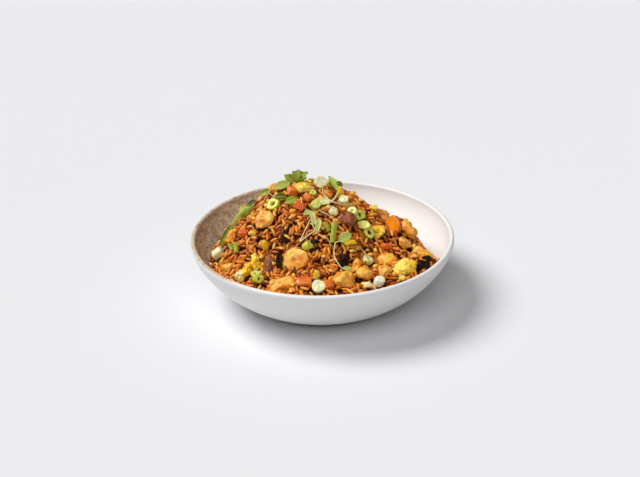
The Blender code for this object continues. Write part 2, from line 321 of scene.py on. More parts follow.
# Below the top of the foot ring the colour is a dark grey: painted shade on the foot under the
# bowl.
above_painted_foot_shade = up.ease(FOOT_HEIGHT - 0.2 * MM, FOOT_HEIGHT + 0.8 * MM)
colour = above_painted_foot_shade.mix(FOOT_PAINTED_SHADE, colour)
feed(surface, Base_Color=colour, Roughness=0.40 + clay * 0.2 + place.noise(9 * MM) * 0.1)
relief(surface, place.noise(1.4 * MM, 2.0) * clay + place.noise(14 * MM) * 2.0, 0.12 * MM, 0.5)

bowl = mesh_object("stoneware_bowl", shape, glaze)
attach(bowl, "root")
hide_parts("bowl")


# ---------------------------------------------------------------------------------------------
# The heap under the top grains, seen only through the gaps between them. It stands for the same
# soy-browned rice but is coloured near black: painted shade for the deep gaps. It is a sphere
# whose upper half follows the heap a few grains down, and whose lower half lines the bowl.
# ---------------------------------------------------------------------------------------------

CELL = 0.5 * MM
CELLS = int(round((RIM_RADIUS + 2 * MM) / CELL))
TOP_LAYER = 4.6 * MM
CORE_SIDES = 120
CORE_RINGS = 84
CORE_GAP = 1.2 * MM
TOPPINGS = [name for name in sorted(frame["nodes"]) if name not in ("bowl", "rice_heap")]


def looked_down_on(names):
    """Heights of these CAD nodes seen from above, on a square grid of cells, or -1 past them."""
    verts, faces = [], []
    for name in names:
        mesh = frame["nodes"][name].data
        start = len(verts)
        verts += [vert.co.copy() for vert in mesh.vertices]
        faces += [[start + corner for corner in face.vertices] for face in mesh.polygons]
    tree = BVHTree.FromPolygons(verts, faces)
    heights = np.full((2 * CELLS + 1, 2 * CELLS + 1), -1.0)
    down = Vector((0, 0, -1))
    for row in range(2 * CELLS + 1):
        for column in range(2 * CELLS + 1):
            start = Vector(((column - CELLS) * CELL, (row - CELLS) * CELL, 0.2))
            hit = tree.ray_cast(start, down)[0]
            if hit is not None:
                heights[row, column] = hit.z
    return heights


def spread(heights, reach, how):
    """Each cell takes the highest (or lowest) of the cells around it."""
    for axis in (0, 1):
        shifted = [np.roll(heights, step, axis) for step in range(-reach, reach + 1)]
        heights = how.reduce(shifted)
    return heights


heap_only = looked_down_on(["rice_heap"])
topping_tops = looked_down_on(TOPPINGS)
is_topping = topping_tops > heap_only
closed = spread(spread(np.maximum(heap_only, topping_tops), 1, np.maximum), 1, np.minimum)
in_heap = heap_only > 0
rows, columns = np.mgrid[-CELLS : CELLS + 1, -CELLS : CELLS + 1] * CELL
from_axis = np.hypot(rows, columns)
wall_radii = [out for out, _ in reversed(inner_wall)]
wall_heights = [height for _, height in reversed(inner_wall)]
wall = np.interp(from_axis, wall_radii, wall_heights)
wall[from_axis > inner_rim] = RIM_HEIGHT
core_top = np.where(is_topping, heap_only - CORE_GAP, closed - TOP_LAYER)
core_top = np.maximum(core_top, wall + 0.4 * MM)


def field_at(field, x, y):
    """A field's value at a place, read between its cells."""
    column = min(max(x / CELL + CELLS, 0.0), 2 * CELLS - 1e-6)
    row = min(max(y / CELL + CELLS, 0.0), 2 * CELLS - 1e-6)
    left, low = int(column), int(row)
    a, b = column - left, row - low
    lower = field[low, left] * (1 - a) + field[low, left + 1] * a
    upper = field[low + 1, left] * (1 - a) + field[low + 1, left + 1] * a
    return lower * (1 - b) + upper * b


def heap_edge(turn):
    """How far from the axis the rice reaches in this direction."""
    reach = FLOOR_RADIUS
    while field_at(in_heap.astype(float), reach * math.cos(turn), reach * math.sin(turn)) > 0.5:
        reach += 0.5 * MM
    return reach


core_shape = bmesh.new()
bmesh.ops.create_uvsphere(core_shape, u_segments=CORE_SIDES, v_segments=CORE_RINGS, radius=1.0)
edges = {}
for vert in core_shape.verts:
    share = min(math.hypot(vert.co.x, vert.co.y), 1.0)
    turn = math.atan2(vert.co.y, vert.co.x)
    key = round(turn, 4)
    if key not in edges:
        edges[key] = heap_edge(turn) - CORE_GAP
    out = edges[key] * share
    x, y = out * math.cos(turn), out * math.sin(turn)
    lining = float(np.interp(out, wall_radii, wall_heights)) + 0.4 * MM
    if vert.co.z > -1e-4:
        crag = 0.9 * MM * noise.noise(Vector((x, y, 0.0)) / (3.0 * MM))
        vert.co = (x, y, max(field_at(core_top, x, y) + crag, lining))
    else:
        vert.co = (x, y, lining)

core_painted_shade, surface, place = new_material("painted_shade_core", Roughness=0.7, Specular_IOR_Level=0.15)
shade = place.noise(3 * MM, 3.0, 0.6)
# Near-black brown: painted shade in the gaps between the grains.
feed(surface, Base_Color=shade.ease(0.3, 0.7).mix((0.025, 0.007, 0.001), (0.11, 0.030, 0.005)))
relief(surface, place.noise(2.2 * MM, 2.0), 1.0 * MM)

rice_core = mesh_object("rice_core", core_shape, core_painted_shade)
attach(rice_core, "root")
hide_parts("rice_heap")


# ---------------------------------------------------------------------------------------------
# The grains: long-grain rice, cooked, fried and coated in soy. Each one is dropped on what lies
# below it and settles there, until the heap is full. They are joined by shade of brown.
# ---------------------------------------------------------------------------------------------

GRAIN_COUNT = 9400
GRAIN_LENGTH = (6.2 * MM, 8.6 * MM)
GRAIN_WIDTH = (2.4 * MM, 3.2 * MM)
GRAIN_SIDES = 6
GRAIN_RINGS = 6
SINK = 0.35 * MM
HEAP_FALL = 1.4 * MM
STAND_PROUD = 1.1 * MM
CRAG_HEIGHT = 4.4 * MM
CRAG_WIDTH = 8.0 * MM
CRAG_CREST = 0.2
PITCH_SPREAD = 0.28
TRIES = 7
BATCH = 120

dice = np.random.default_rng(7)
lying = np.maximum(np.where(is_topping, topping_tops, core_top), wall)
crags = np.array(
    [
        [noise.noise(Vector((x, y, 0.0)) / CRAG_WIDTH) for x, y in zip(xs, ys)]
        for xs, ys in zip(columns[::4, ::4], rows[::4, ::4])
    ]
)
crags = np.kron(crags, np.ones((4, 4)))[: 2 * CELLS + 1, : 2 * CELLS + 1]
crags = np.minimum(crags, CRAG_CREST)
wanted = np.where(in_heap & ~is_topping, closed - HEAP_FALL + CRAG_HEIGHT * crags, -1.0)
slope_y, slope_x = np.gradient(spread(closed, 3, np.maximum), CELL)
window = int(GRAIN_LENGTH[1] / CELL / 2) + 1
offset_y, offset_x = np.mgrid[-window : window + 1, -window : window + 1] * CELL


def settle(row, column):
    """Drops one grain there at a few angles, keeps the lowest, and raises what lies in the cell."""
    half = dice.uniform(*GRAIN_LENGTH) / 2
    thick = dice.uniform(*GRAIN_WIDTH) / 2
    patch = (slice(row - window, row + window + 1), slice(column - window, column + window + 1))
    below = lying[patch]
    best = None
    for _ in range(TRIES):
        yaw = dice.uniform(0, math.pi)
        rise = slope_x[row, column] * math.cos(yaw) + slope_y[row, column] * math.sin(yaw)
        pitch = min(max(math.atan(rise) + dice.normal(0, PITCH_SPREAD), -1.2), 1.2)
        level = math.cos(pitch)
        along = offset_x * math.cos(yaw) + offset_y * math.sin(yaw)
        aside = offset_y * math.cos(yaw) - offset_x * math.sin(yaw)
        inside = 1 - (along / (half * level)) ** 2 - (aside / thick) ** 2
        under = inside > 0
        bulge = thick * np.sqrt(inside[under]) / level
        lean = along[under] * math.tan(pitch)
        height = float((below[under] - lean + bulge).max())
        if best is None or height < best[0]:
            best = (height, yaw, pitch, under, lean + bulge)
    height, yaw, pitch, under, crown = best
    height -= SINK
    if height > wanted[row, column] + STAND_PROUD:
        return None
    below[under] = np.maximum(below[under], height + crown)
    return columns[row, column], rows[row, column], height, yaw, pitch, half, thick


grains = []
while len(grains) < GRAIN_COUNT:
    room = np.clip(wanted - lying, 0, None)
    room[:window] = room[-window - 1 :] = 0
    room[:, :window] = room[:, -window - 1 :] = 0
    total = room.sum()
    if total * CELL**2 < 400 * MM**3:
        break
    picks = dice.choice(room.size, BATCH, p=(room / total).ravel())
    for pick in picks:
        row, column = divmod(int(pick), room.shape[1])
        if lying[row, column] > wanted[row, column]:
            continue
        grain = settle(row, column)
        if grain is None:
            wanted[row, column] = -1.0
        else:
            grains.append(grain)


def laid_out(name, unit, material, scales, turns, places, bends=None, shades=None):
    """Joins a copy of the unit mesh for each place by an Array, then lays each in its place."""
    obj = bpy.data.objects.new(name, unit)
    bpy.context.scene.collection.objects.link(obj)
    copies = obj.modifiers.new("copies", "ARRAY")
    copies.count = len(places)
    copies.use_relative_offset = False
    depsgraph = bpy.context.evaluated_depsgraph_get()
    joined = bpy.data.meshes.new_from_object(obj.evaluated_get(depsgraph))
    joined.name = name
    obj.modifiers.clear()
    obj.data = joined
    corners = np.array([vert.co for vert in unit.vertices])
    laid = np.repeat(corners[None], len(places), axis=0)
    if bends is not None:
        laid[:, :, 2] += bends[:, None] * (laid[:, :, 0] ** 2 - 0.4)
    laid = laid * scales[:, None, :]
    laid = np.einsum("nij,nvj->nvi", turns, laid) + places[:, None, :]
    joined.vertices.foreach_set("co", laid.ravel())
    if shades is not None:
        layer = joined.attributes.new("shade", "FLOAT", "POINT")
        layer.data.foreach_set("value", np.repeat(shades, len(corners)))
    joined.materials.clear()
    joined.materials.append(material)
    joined.shade_smooth()
    joined.update()
    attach(obj, "root")
    return obj


def turns_of(yaws, pitches, rolls):
    """Rotation matrices that roll a copy about its length, raise its end, and turn it."""
    cy, sy, cp, sp = np.cos(yaws), np.sin(yaws), np.cos(pitches), np.sin(pitches)
    zero, one = np.zeros_like(yaws), np.ones_like(yaws)
    turn = np.array([[cy, -sy, zero], [sy, cy, zero], [zero, zero, one]]).transpose(2, 0, 1)
    lift = np.array([[cp, zero, -sp], [zero, one, zero], [sp, zero, cp]]).transpose(2, 0, 1)
    cr, sr = np.cos(rolls), np.sin(rolls)
    roll = np.array([[one, zero, zero], [zero, cr, -sr], [zero, sr, cr]]).transpose(2, 0, 1)
    return turn @ lift @ roll


grain_shape = bmesh.new()
bmesh.ops.create_uvsphere(
    grain_shape, u_segments=GRAIN_SIDES, v_segments=GRAIN_RINGS, radius=1.0
)
bmesh.ops.rotate(grain_shape, verts=grain_shape.verts, matrix=Matrix.Rotation(math.pi / 2, 3, "Y"))
for vert in grain_shape.verts:
    # Fuller ends than an ellipsoid's, and a slightly flat side.
    full = 1.0 + 0.22 * abs(vert.co.x) ** 3
    vert.co.y *= full
    vert.co.z *= full * 0.92
grain_unit = bpy.data.meshes.new("grain")
grain_shape.to_mesh(grain_unit)
grain_shape.free()

RICE_SHADES = {
    # how many of a hundred, then a dark and a light colour of the grain
    "rice_deep": (15, (0.20, 0.036, 0.002), (0.38, 0.082, 0.005)),
    "rice_brown": (34, (0.46, 0.110, 0.006), (0.72, 0.198, 0.012)),
    "rice_amber": (37, (0.72, 0.212, 0.012), (0.94, 0.330, 0.026)),
    "rice_pale": (14, (0.92, 0.370, 0.040), (1.0, 0.545, 0.110)),
}

grain_rows = np.array(grains)
order = dice.permutation(len(grain_rows))
start = 0
for kind, (share, dark, light) in RICE_SHADES.items():
    count = int(len(order) * share / 100) + 1
    chosen = grain_rows[order[start : start + count]]
    start += count
    material, surface, place = new_material(
        kind, Roughness=0.34, IOR=1.45, Subsurface_Weight=0.12,
        Subsurface_Radius=(1.0, 0.45, 0.2), Subsurface_Scale=1.5 * MM, Coat_Weight=0.06,
        Coat_Roughness=0.2,
    )
    shade = place.node("Attribute", {"attribute_name": "shade"}, output=2)
    blotch = place.noise(2.6 * MM, 3.0, 0.6)
    feed(surface, Base_Color=(shade + (blotch - 0.5) * 1.1).ease(0.0, 1.0).mix(dark, light))
    feed(surface, Roughness=0.32 + place.noise(3 * MM) * 0.22)
    relief(surface, place.noise(1.0 * MM, 2.0), 0.10 * MM, 0.6)
    laid_out(
        kind,
        grain_unit,
        material,
        chosen[:, [5, 6, 6]],
        turns_of(chosen[:, 3], chosen[:, 4], dice.uniform(0, math.tau, len(chosen))),
        chosen[:, :3],
        bends=dice.uniform(-0.5, 0.5, len(chosen)),
        shades=dice.uniform(0, 1, len(chosen)),
    )


# ---------------------------------------------------------------------------------------------
# Chicken: chunks of thigh, fried until the edges brown, with soft fibres and a glaze of soy. Each
# starts as the plain solid of its node, is subdivided and rounded, then creased along its fibres.
# ---------------------------------------------------------------------------------------------


def refined(node, rounds, softness=2):
    """A merged, subdivided and rounded copy of a CAD node that fills the same box."""
    copy = bmesh.new()
    copy.from_mesh(frame["nodes"][node].data)
    bmesh.ops.remove_doubles(copy, verts=copy.verts, dist=0.02 * MM)
    low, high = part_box(node)
    for _ in range(rounds):
        bmesh.ops.subdivide_edges(copy, edges=copy.edges, cuts=1, use_grid_fill=True)
        bmesh.ops.triangulate(copy, faces=[face for face in copy.faces if len(face.verts) > 4])
        for _ in range(softness):
            bmesh.ops.smooth_vert(
                copy, verts=copy.verts, factor=0.5,
                use_axis_x=True, use_axis_y=True, use_axis_z=True,
            )
    middle = (low + high) / 2
    reach = [max(abs(vert.co[axis] - middle[axis]) for vert in copy.verts) for axis in range(3)]
    for axis in range(3):
        grow = (high[axis] - low[axis]) / 2 / reach[axis]
        for vert in copy.verts:
            vert.co[axis] = middle[axis] + (vert.co[axis] - middle[axis]) * grow
    bmesh.ops.recalc_face_normals(copy, faces=copy.faces)
    return copy


def pushed(shape, push):
    """Moves every vertex along its normal by what push gives for its place."""
    shape.normal_update()
    moves = [vert.normal * push(vert.co, vert.normal) for vert in shape.verts]
    for vert, move in zip(shape.verts, moves):
        vert.co += move
    shape.normal_update()


def crease(place, width):
    """1 along thin meandering lines and 0 between them."""
    return 1.0 - min(abs(noise.noise(place / width)) * 5.0, 1.0)


def topping(node, shape, material, slot):
    """The shown piece for a CAD topping."""
    piece = mesh_object(node + "_piece", shape, material)
    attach(piece, "root")
    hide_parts(node)
    return piece


FRIED_PALE = (1.0, 0.60, 0.12)
FRIED_GOLD = (1.0, 0.45, 0.035)
FRIED_BROWN = (0.80, 0.25, 0.012)
CHAR = (0.24, 0.06, 0.008)
CHICKEN_ROUNDS = 3
CHICKEN_LUMP = 6.5 * MM
FIBRE_WIDTH = 5.0 * MM
FIBRE_STRETCH = (0.45, 1.0, 1.0)

chicken_meat, surface, place = new_material(
    "fried_chicken", Roughness=0.36, IOR=1.45, Subsurface_Weight=0.15,
    Subsurface_Scale=2.0 * MM, Subsurface_Radius=(1.0, 0.5, 0.25), Coat_Weight=0.12,
    Coat_Roughness=0.22,
)
hollow = place.node("Attribute", {"attribute_name": "hollow"}, output=2)
meat = place.noise(8 * MM, 3.0, 0.5).ease(0.38, 0.64).mix(FRIED_PALE, FRIED_GOLD)
# Browner in random patches, and a little browner along the dented fibre creases: the crease part is
# painted shade.
seared_and_painted_crease_shade = (hollow * 0.16 + place.noise(5 * MM, 4.0, 0.6)).ease(0.48, 0.74)
meat = seared_and_painted_crease_shade.mix(meat, FRIED_BROWN)
meat = place.noise(1.5 * MM, 2.0, 0.6).ease(0.69, 0.76).mix(meat, CHAR)
feed(surface, Base_Color=meat, Roughness=0.26 + place.noise(4 * MM) * 0.24)
relief(surface, place.noise(1.6 * MM, 3.0), 0.25 * MM, 0.5)

for number, node in enumerate(name for name in TOPPINGS if name.startswith("chicken")):
    chunk = refined(node, CHICKEN_ROUNDS, softness=1)
    painted_crease_layer = chunk.verts.layers.float.new("hollow")
    spin = Euler((number * 1.3, number * 0.7, number * 2.1)).to_matrix()
    shift = Vector((number * 0.37, 0.0, 0.0))

    def fibres(spot):
        along = spin @ spot + shift
        along = Vector(along[i] * FIBRE_STRETCH[i] for i in range(3))
        return crease(along, FIBRE_WIDTH)

    def meat_push(spot, _normal):
        lumps = noise.noise((spot + shift) / CHICKEN_LUMP) * 2.2 * MM
        return lumps - 0.25 * MM * fibres(spot) + 0.3 * MM * noise.noise(spot / (2.2 * MM))

    for vert in chunk.verts:
        vert[painted_crease_layer] = fibres(vert.co)
    pushed(chunk, meat_push)
    topping(node, chunk, chicken_meat, "chicken")


# ---------------------------------------------------------------------------------------------
# Egg: scrambled curds, part yolk and part white, soft and moist. Each is the node's solid, blown
# into lobes and folds.
# ---------------------------------------------------------------------------------------------

YOLK = (1.0, 0.58, 0.012)
YOLK_PALE = (1.0, 0.76, 0.13)
WHITE_OF_EGG = (0.98, 0.85, 0.44)
EGG_BROWN = (0.72, 0.32, 0.02)
EGG_ROUNDS = 3
EGG_LOBE = 6.5 * MM
EGG_CRUMB = 2.6 * MM
LEVEL_REACH = 3
CRUMB_COUNT = 90
EGG_BITS = (
    # millimetres across and away, its three sizes, and its turn in degrees
    (-46, -44, 6, 5, 9, 10),
    (22, -49, 11, 5, 4, 20),
    (16, 9, 5, 5, 11, 0),
    (-5, -83, 5, 5, 9, 0),
    (34, -89, 9, 5, 4, -10),
    (-57, -29, 5.5, 4, 4, 0),
    (11, -27, 5, 5, 5, 30),
    (44, 2, 4, 4, 4, 0),
    (62, -74, 6, 4, 4, 20),
    (-28, 34, 7, 5, 5, 50),
    (28, 52, 8, 6, 5, -30),
    (-52, 44, 6, 5, 5, 10),
    (4, 82, 7, 5, 4, 0),
    (-2, 37, 6, 5, 4, 70),
)

egg_curd, surface, place = new_material(
    "egg_curd", Roughness=0.38, IOR=1.42, Subsurface_Weight=0.2, Subsurface_Scale=2.5 * MM,
    Subsurface_Radius=(1.0, 0.7, 0.25), Coat_Weight=0.1, Coat_Roughness=0.25,
)
curd = place.noise(8 * MM, 2.0).ease(0.44, 0.60).mix(YOLK, YOLK_PALE)
curd = place.stretched(1.0, 0.8, 1.2).noise(9 * MM, 2.0).ease(0.56, 0.64).mix(curd, WHITE_OF_EGG)
curd = place.noise(3.0 * MM, 3.0, 0.6).ease(0.66, 0.82).mix(curd, EGG_BROWN)
feed(surface, Base_Color=curd, Roughness=0.30 + place.noise(4 * MM) * 0.2)
relief(surface, place.noise(2.0 * MM, 2.0), 0.3 * MM, 0.6)


def egg_push(spot, _normal):
    folds = abs(noise.noise(spot / EGG_LOBE)) * 4.5 - 1.0
    crumbs = abs(noise.noise(spot / EGG_CRUMB)) * 2.2 - 0.5
    return (folds + crumbs) * MM


for node in (name for name in TOPPINGS if name.startswith("egg")):
    chunk = refined(node, EGG_ROUNDS)
    pushed(chunk, egg_push)
    topping(node, chunk, egg_curd, "egg")

# The level that small things rest on: the settled heap, with its gaps between grains closed.
level = spread(lying, LEVEL_REACH, np.maximum)
for axis in (0, 1):
    level = sum(np.roll(level, step, axis) for step in range(-LEVEL_REACH, LEVEL_REACH + 1))
    level = level / (2 * LEVEL_REACH + 1)


def on_heap(x, y, lift=0.0):
    """The spot above this place, given in millimetres, at a height over the heap's level."""
    return Vector((x * MM, y * MM, field_at(level, x * MM, y * MM) + lift * MM))


def small_lumps(shape, rows, roughness, sunk=0.25, rounds=3):
    """Adds a rounded lump for each row of place, sizes and turn, partly sunk in the heap."""
    for number, (x, y, length, width, height, turn) in enumerate(rows):
        made = bmesh.ops.create_icosphere(shape, subdivisions=rounds, radius=0.5 * MM)["verts"]
        place = Matrix.Translation(on_heap(x, y, (0.5 - sunk) * height))
        place = place @ Matrix.Rotation(math.radians(turn), 4, "Z")
        place = place @ Matrix.Diagonal((length, width, height, 1.0))
        for vert in made:
            swell = noise.noise(vert.co / (0.42 * MM) + Vector((number * 3.1, 0.0, 0.0)))
            vert.co = place @ (vert.co * (1.0 + roughness * swell))


egg_bits_shape = bmesh.new()
small_lumps(egg_bits_shape, EGG_BITS, 0.35)
egg_bits = mesh_object("egg_bits", egg_bits_shape, egg_curd)
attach(egg_bits, "root")


# ---------------------------------------------------------------------------------------------
# Crumbs: small bits of the chicken's browned crust strewn over the whole heap, sunk among the
# grains and clear of the larger pieces.
# ---------------------------------------------------------------------------------------------

well_inside = spread(in_heap.astype(float), 10, np.minimum) > 0.5
crumb_rows = []
while len(crumb_rows) < CRUMB_COUNT:
    x, y = dice.uniform(-100, 100, 2)
    row, column = int(y * MM / CELL) + CELLS, int(x * MM / CELL) + CELLS
    if well_inside[row, column] and not is_topping[row, column]:
        crumb_rows.append((x, y, *dice.uniform(2.5, 5.5, 2), dice.uniform(2.0, 3.5), x * 7))
crumb_shape = bmesh.new()
small_lumps(crumb_shape, crumb_rows, 0.6, sunk=0.6, rounds=2)
crumbs = mesh_object("chicken_crumbs", crumb_shape, chicken_meat)
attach(crumbs, "root")


# ---------------------------------------------------------------------------------------------
# Beef and mushroom: shreds of purple-brown beef with a coarse grain, and near-black mushroom. Both
# are wet with sauce. The near-black mushroom bits also sit in the heap's deep gaps, where they are
# partly mushroom and partly painted shade for those gaps.
# ---------------------------------------------------------------------------------------------

DARK_PIECES = {
    # start of the node's name: slot, light and dark colour, gloss, depth of the grain, swell
    "beef": ("beef", (0.46, 0.140, 0.042), (0.16, 0.042, 0.012), 0.5, 0.6 * MM, 1.5 * MM),
    # mushroom is near black: partly its own colour, partly painted shade for deep gaps
    "mushroom": ("mushroom", (0.040, 0.010, 0.003), (0.010, 0.003, 0.001), 0.2, 0.5 * MM, 0.4 * MM),
}
DARK_ROUNDS = 3

dark_flesh = {}
for kind, (slot_name, light, dark, gloss, grain_depth, swell) in DARK_PIECES.items():
    dark_flesh[kind], surface, place = new_material(
        kind + "_flesh", Roughness=0.4, IOR=1.45, Specular_IOR_Level=gloss,
    )
    grain_pattern = place.stretched(1.0, 0.5, 0.8).noise(2.2 * MM, 3.0, 0.6)
    feed(surface, Base_Color=grain_pattern.ease(0.36, 0.64).mix(dark, light))
    feed(surface, Roughness=0.30 + place.noise(3 * MM) * 0.25)
    relief(surface, grain_pattern, 0.4 * MM, 0.7)

    def grain_push(spot, _normal):
        lines = crease(Vector((spot.x, spot.y * 0.4, spot.z)), 2.6 * MM)
        return swell + 0.9 * MM * noise.noise(spot / (4.0 * MM)) - grain_depth * lines

    for node in (name for name in TOPPINGS if name.startswith(kind)):
        chunk = refined(node, DARK_ROUNDS)
        pushed(chunk, grain_push)
        topping(node, chunk, dark_flesh[kind], slot_name)

# Near-black bits set in the heap's deep gaps: partly mushroom, partly painted shade.
MUSHROOM_AND_GAP_SHADE_BITS = (
    # millimetres across and away, its three sizes, and its turn in degrees
    (-34, -58, 5, 19, 9, -6),
    (-31, -45, 9, 6, 3, 20),
    (-6, -52, 7, 4, 3, 0),
    (17, -60, 8, 8, 6, 30),
    (84, -46, 7, 5, 4, 0),
    (-30, 62, 8, 6, 4, 0),
)

mushroom_and_gap_shade_shape = bmesh.new()
small_lumps(mushroom_and_gap_shade_shape, MUSHROOM_AND_GAP_SHADE_BITS, 0.7, sunk=0.42)
mushroom_and_gap_shade_bits = mesh_object("mushroom_and_gap_shade_bits", mushroom_and_gap_shade_shape, dark_flesh["mushroom"])
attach(mushroom_and_gap_shade_bits, "root")


# ---------------------------------------------------------------------------------------------
# Carrot: one thick slice stood on edge, wet orange with a paler core and a darker skin. It is the
# first of the pieces cut across a stem: a disc turned in a lathe and laid where its node lies.
# ---------------------------------------------------------------------------------------------

CUT_SIDES = 32
CARROT_FACE = (0.88, 0.26, 0.004)
CARROT_CORE = (0.92, 0.33, 0.008)
CARROT_SKIN = (0.66, 0.10, 0.002)


def lie_of(node):
    """A node's middle, its turn with its shortest side as Z, and its sizes."""
    corners = np.array([vert.co for vert in frame["nodes"][node].data.vertices])
    low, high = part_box(node)
    directions = np.linalg.svd(corners - corners.mean(axis=0))[2]
    directions[2] = np.cross(directions[0], directions[1])
    turn = Matrix(directions.tolist()).transposed()
    return (low + high) / 2, turn, np.ptp(corners @ directions.T, axis=0)


def cut_shape():
    """An empty mesh that keeps each vertex's share of the radius and its tone."""
    shape = bmesh.new()
    for name in ("out", "tone"):
        shape.verts.layers.float.new(name)
    shape.verts.layers.int.new("placed")
    return shape


def newly_made(shape):
    """The vertices added since the last call."""
    placed = shape.verts.layers.int["placed"]
    made = [vert for vert in shape.verts if not vert[placed]]
    for vert in made:
        vert[placed] = 1
    return made


def cut_piece(shape, middle, turn, sizes, hole, layers, tone, seed):
    """Adds a slice of a layered stem: its hole is a share of its radius, its tone is 0 to 1."""
    profile = []
    for side in (1, -1):
        ring = []
        for number in range(layers):
            inner = hole + (1 - hole) * number / layers
            outer = hole + (1 - hole) * (number + 1) / layers
            gap = 0.12 * (outer - inner)
            tip = 0.5 - 0.02 * ((number * 7 + seed) % 3)
            ring.append((inner + gap, tip - 0.02))
            ring.append(((inner + outer) / 2, tip))
            ring.append((outer - gap, tip - 0.02))
            ring.append((outer, tip - 0.06))
        if hole == 0:
            ring[0] = (0.0, ring[0][1])
        profile += [(out, height * side) for out, height in (ring if side == 1 else ring[::-1])]
    corners = [shape.verts.new((out, 0.0, height)) for out, height in profile]
    joined = list(zip(corners, corners[1:]))
    if hole > 0:
        joined.append((corners[-1], corners[0]))
    edges = [shape.edges.new(pair) for pair in joined]
    bmesh.ops.spin(
        shape,
        geom=corners + edges,
        cent=(0, 0, 0),
        axis=(0, 0, 1),
        angle=math.tau,
        steps=CUT_SIDES,
        use_merge=True,
    )
    made = newly_made(shape)
    bmesh.ops.remove_doubles(shape, verts=made, dist=1e-4)
    made = [vert for vert in made if vert.is_valid]
    out_layer, tone_layer = (shape.verts.layers.float[name] for name in ("out", "tone"))
    for vert in made:
        out = math.hypot(vert.co.x, vert.co.y)
        vert[out_layer] = out
        vert[tone_layer] = tone
        turned = math.atan2(vert.co.y, vert.co.x)
        round_about = Vector((math.cos(turned), math.sin(turned), seed * 1.7))
        vert.co *= 1.0 + 0.16 * noise.noise(round_about * 1.2)
        vert.co.z += 0.07 * noise.noise(round_about * 0.9)
        laid = Vector((vert.co.x * sizes[0] / 2, vert.co.y * sizes[1] / 2, vert.co.z * sizes[2]))
        vert.co = middle + turn @ laid


carrot_flesh, surface, place = new_material(
    "carrot_flesh", Roughness=0.3, IOR=1.45, Subsurface_Weight=0.15, Subsurface_Scale=2.0 * MM,
    Subsurface_Radius=(1.0, 0.4, 0.1), Coat_Weight=0.3, Coat_Roughness=0.2,
)
out = place.node("Attribute", {"attribute_name": "out"}, output=2)
uneven = (place.noise(3 * MM, 3.0) - 0.5) * 0.3
carrot = (out + uneven).ease(0.34, 0.46).mix(CARROT_CORE, CARROT_FACE)
carrot = (out + uneven * 0.3).ease(0.86, 0.97).mix(carrot, CARROT_SKIN)
feed(surface, Base_Color=carrot, Roughness=0.26 + place.noise(4 * MM) * 0.16)
relief(surface, place.noise(1.8 * MM, 2.0), 0.15 * MM, 0.5)

carrot_shape = cut_shape()
middle, turn, sizes = lie_of("carrot_slice")
cut_piece(carrot_shape, middle, turn, sizes, 0.0, 1, 0.0, 2)
bmesh.ops.recalc_face_normals(carrot_shape, faces=carrot_shape.faces)
topping("carrot_slice", carrot_shape, carrot_flesh, "carrot")


# ---------------------------------------------------------------------------------------------
# Spring onion: slices of the white stem, green rings with an open middle, and green strips. Each
# slice shows its layers as rings on the cut face; all are the same plant, from white to green.
# ---------------------------------------------------------------------------------------------

ONION_SLICES = {
    # hole, layers, tone from white to green, seed of its unevenness
    "onion_white_left": (0.0, 4, 0.16, 1),
    "onion_white_front": (0.0, 4, 0.24, 4),
    "onion_white_crown": (0.0, 4, 0.18, 7),
    "onion_green_crown": (0.0, 3, 0.62, 10),
    "onion_ring_back": (0.40, 2, 0.60, 13),
    "onion_ring_left": (0.40, 2, 0.62, 16),
    "onion_ring_browned": (0.44, 2, 0.80, 19),
    "onion_ring_middle": (0.42, 2, 0.34, 22),
    "onion_ring_right": (0.42, 2, 0.66, 25),
    "onion_ring_right_low": (0.42, 2, 0.60, 28),
}
ONION_BITS = (
    # millimetres across and away, its width, depth and length, hole, layers, tone, turn and tip
    (-5, -25, 8, 7, 6, 0.0, 3, 0.56, 20, 50),
    (18, -8, 8, 7, 7, 0.0, 3, 0.22, 0, 30),
    (9, -26, 6.5, 6, 5, 0.0, 3, 0.12, 60, 40),
    (25, -18, 9, 7, 4, 0.3, 2, 0.46, -40, 35),
    (1, -17, 12, 6, 4, 0.0, 3, 0.38, -8, 62),
    (34, -23, 12, 7, 3, 0.0, 2, 0.58, -25, 40),
    (-51, -78, 8, 7, 6, 0.3, 2, 0.66, 30, 60),
    (-53, -73, 7, 6, 5, 0.3, 2, 0.72, -20, 20),
    (-12, -55, 8, 7, 6, 0.3, 2, 0.62, 70, 55),
    (-7, -7, 6, 5, 5, 0.3, 2, 0.70, 0, 30),
    (44, 3, 6, 5, 4, 0.3, 2, 0.60, 0, 30),
    (-24, 40, 9, 8, 4, 0.4, 2, 0.64, 0, 35),
    (-4, 70, 9, 8, 7, 0.0, 4, 0.20, 30, 60),
    (30, 66, 9, 8, 5, 0.4, 2, 0.62, 0, 30),
    (-66, 32, 9, 8, 5, 0.4, 2, 0.68, 50, 40),
    (-34, 74, 8, 7, 6, 0.0, 3, 0.30, -30, 40),
    (14, 42, 7, 6, 4, 0.3, 2, 0.60, 10, 20),
)
ONION_STRIPS = (
    # two ends (millimetres across, away and over the heap), width and tone
    ((-77, -22, 1.5), (-73, -33, 1.0), 4.0, 0.72),
    ((-71, -26, 1.5), (-70, -36, 1.0), 3.5, 0.60),
    ((10, -38, 2.5), (8, -52, 1.5), 4.5, 0.64),
    ((2, -39, 1.5), (6, -44, 1.0), 4.0, 0.66),
    ((-63, 8, 1.5), (-76, 3, 1.0), 4.2, 0.50),
    ((-57, 5, 1.5), (-68, 2, 1.0), 3.0, 0.84),
    ((-10, 30, 1.5), (0, 36, 1.0), 4.0, 0.66),
    ((20, 74, 1.5), (10, 80, 1.0), 4.5, 0.60),
)

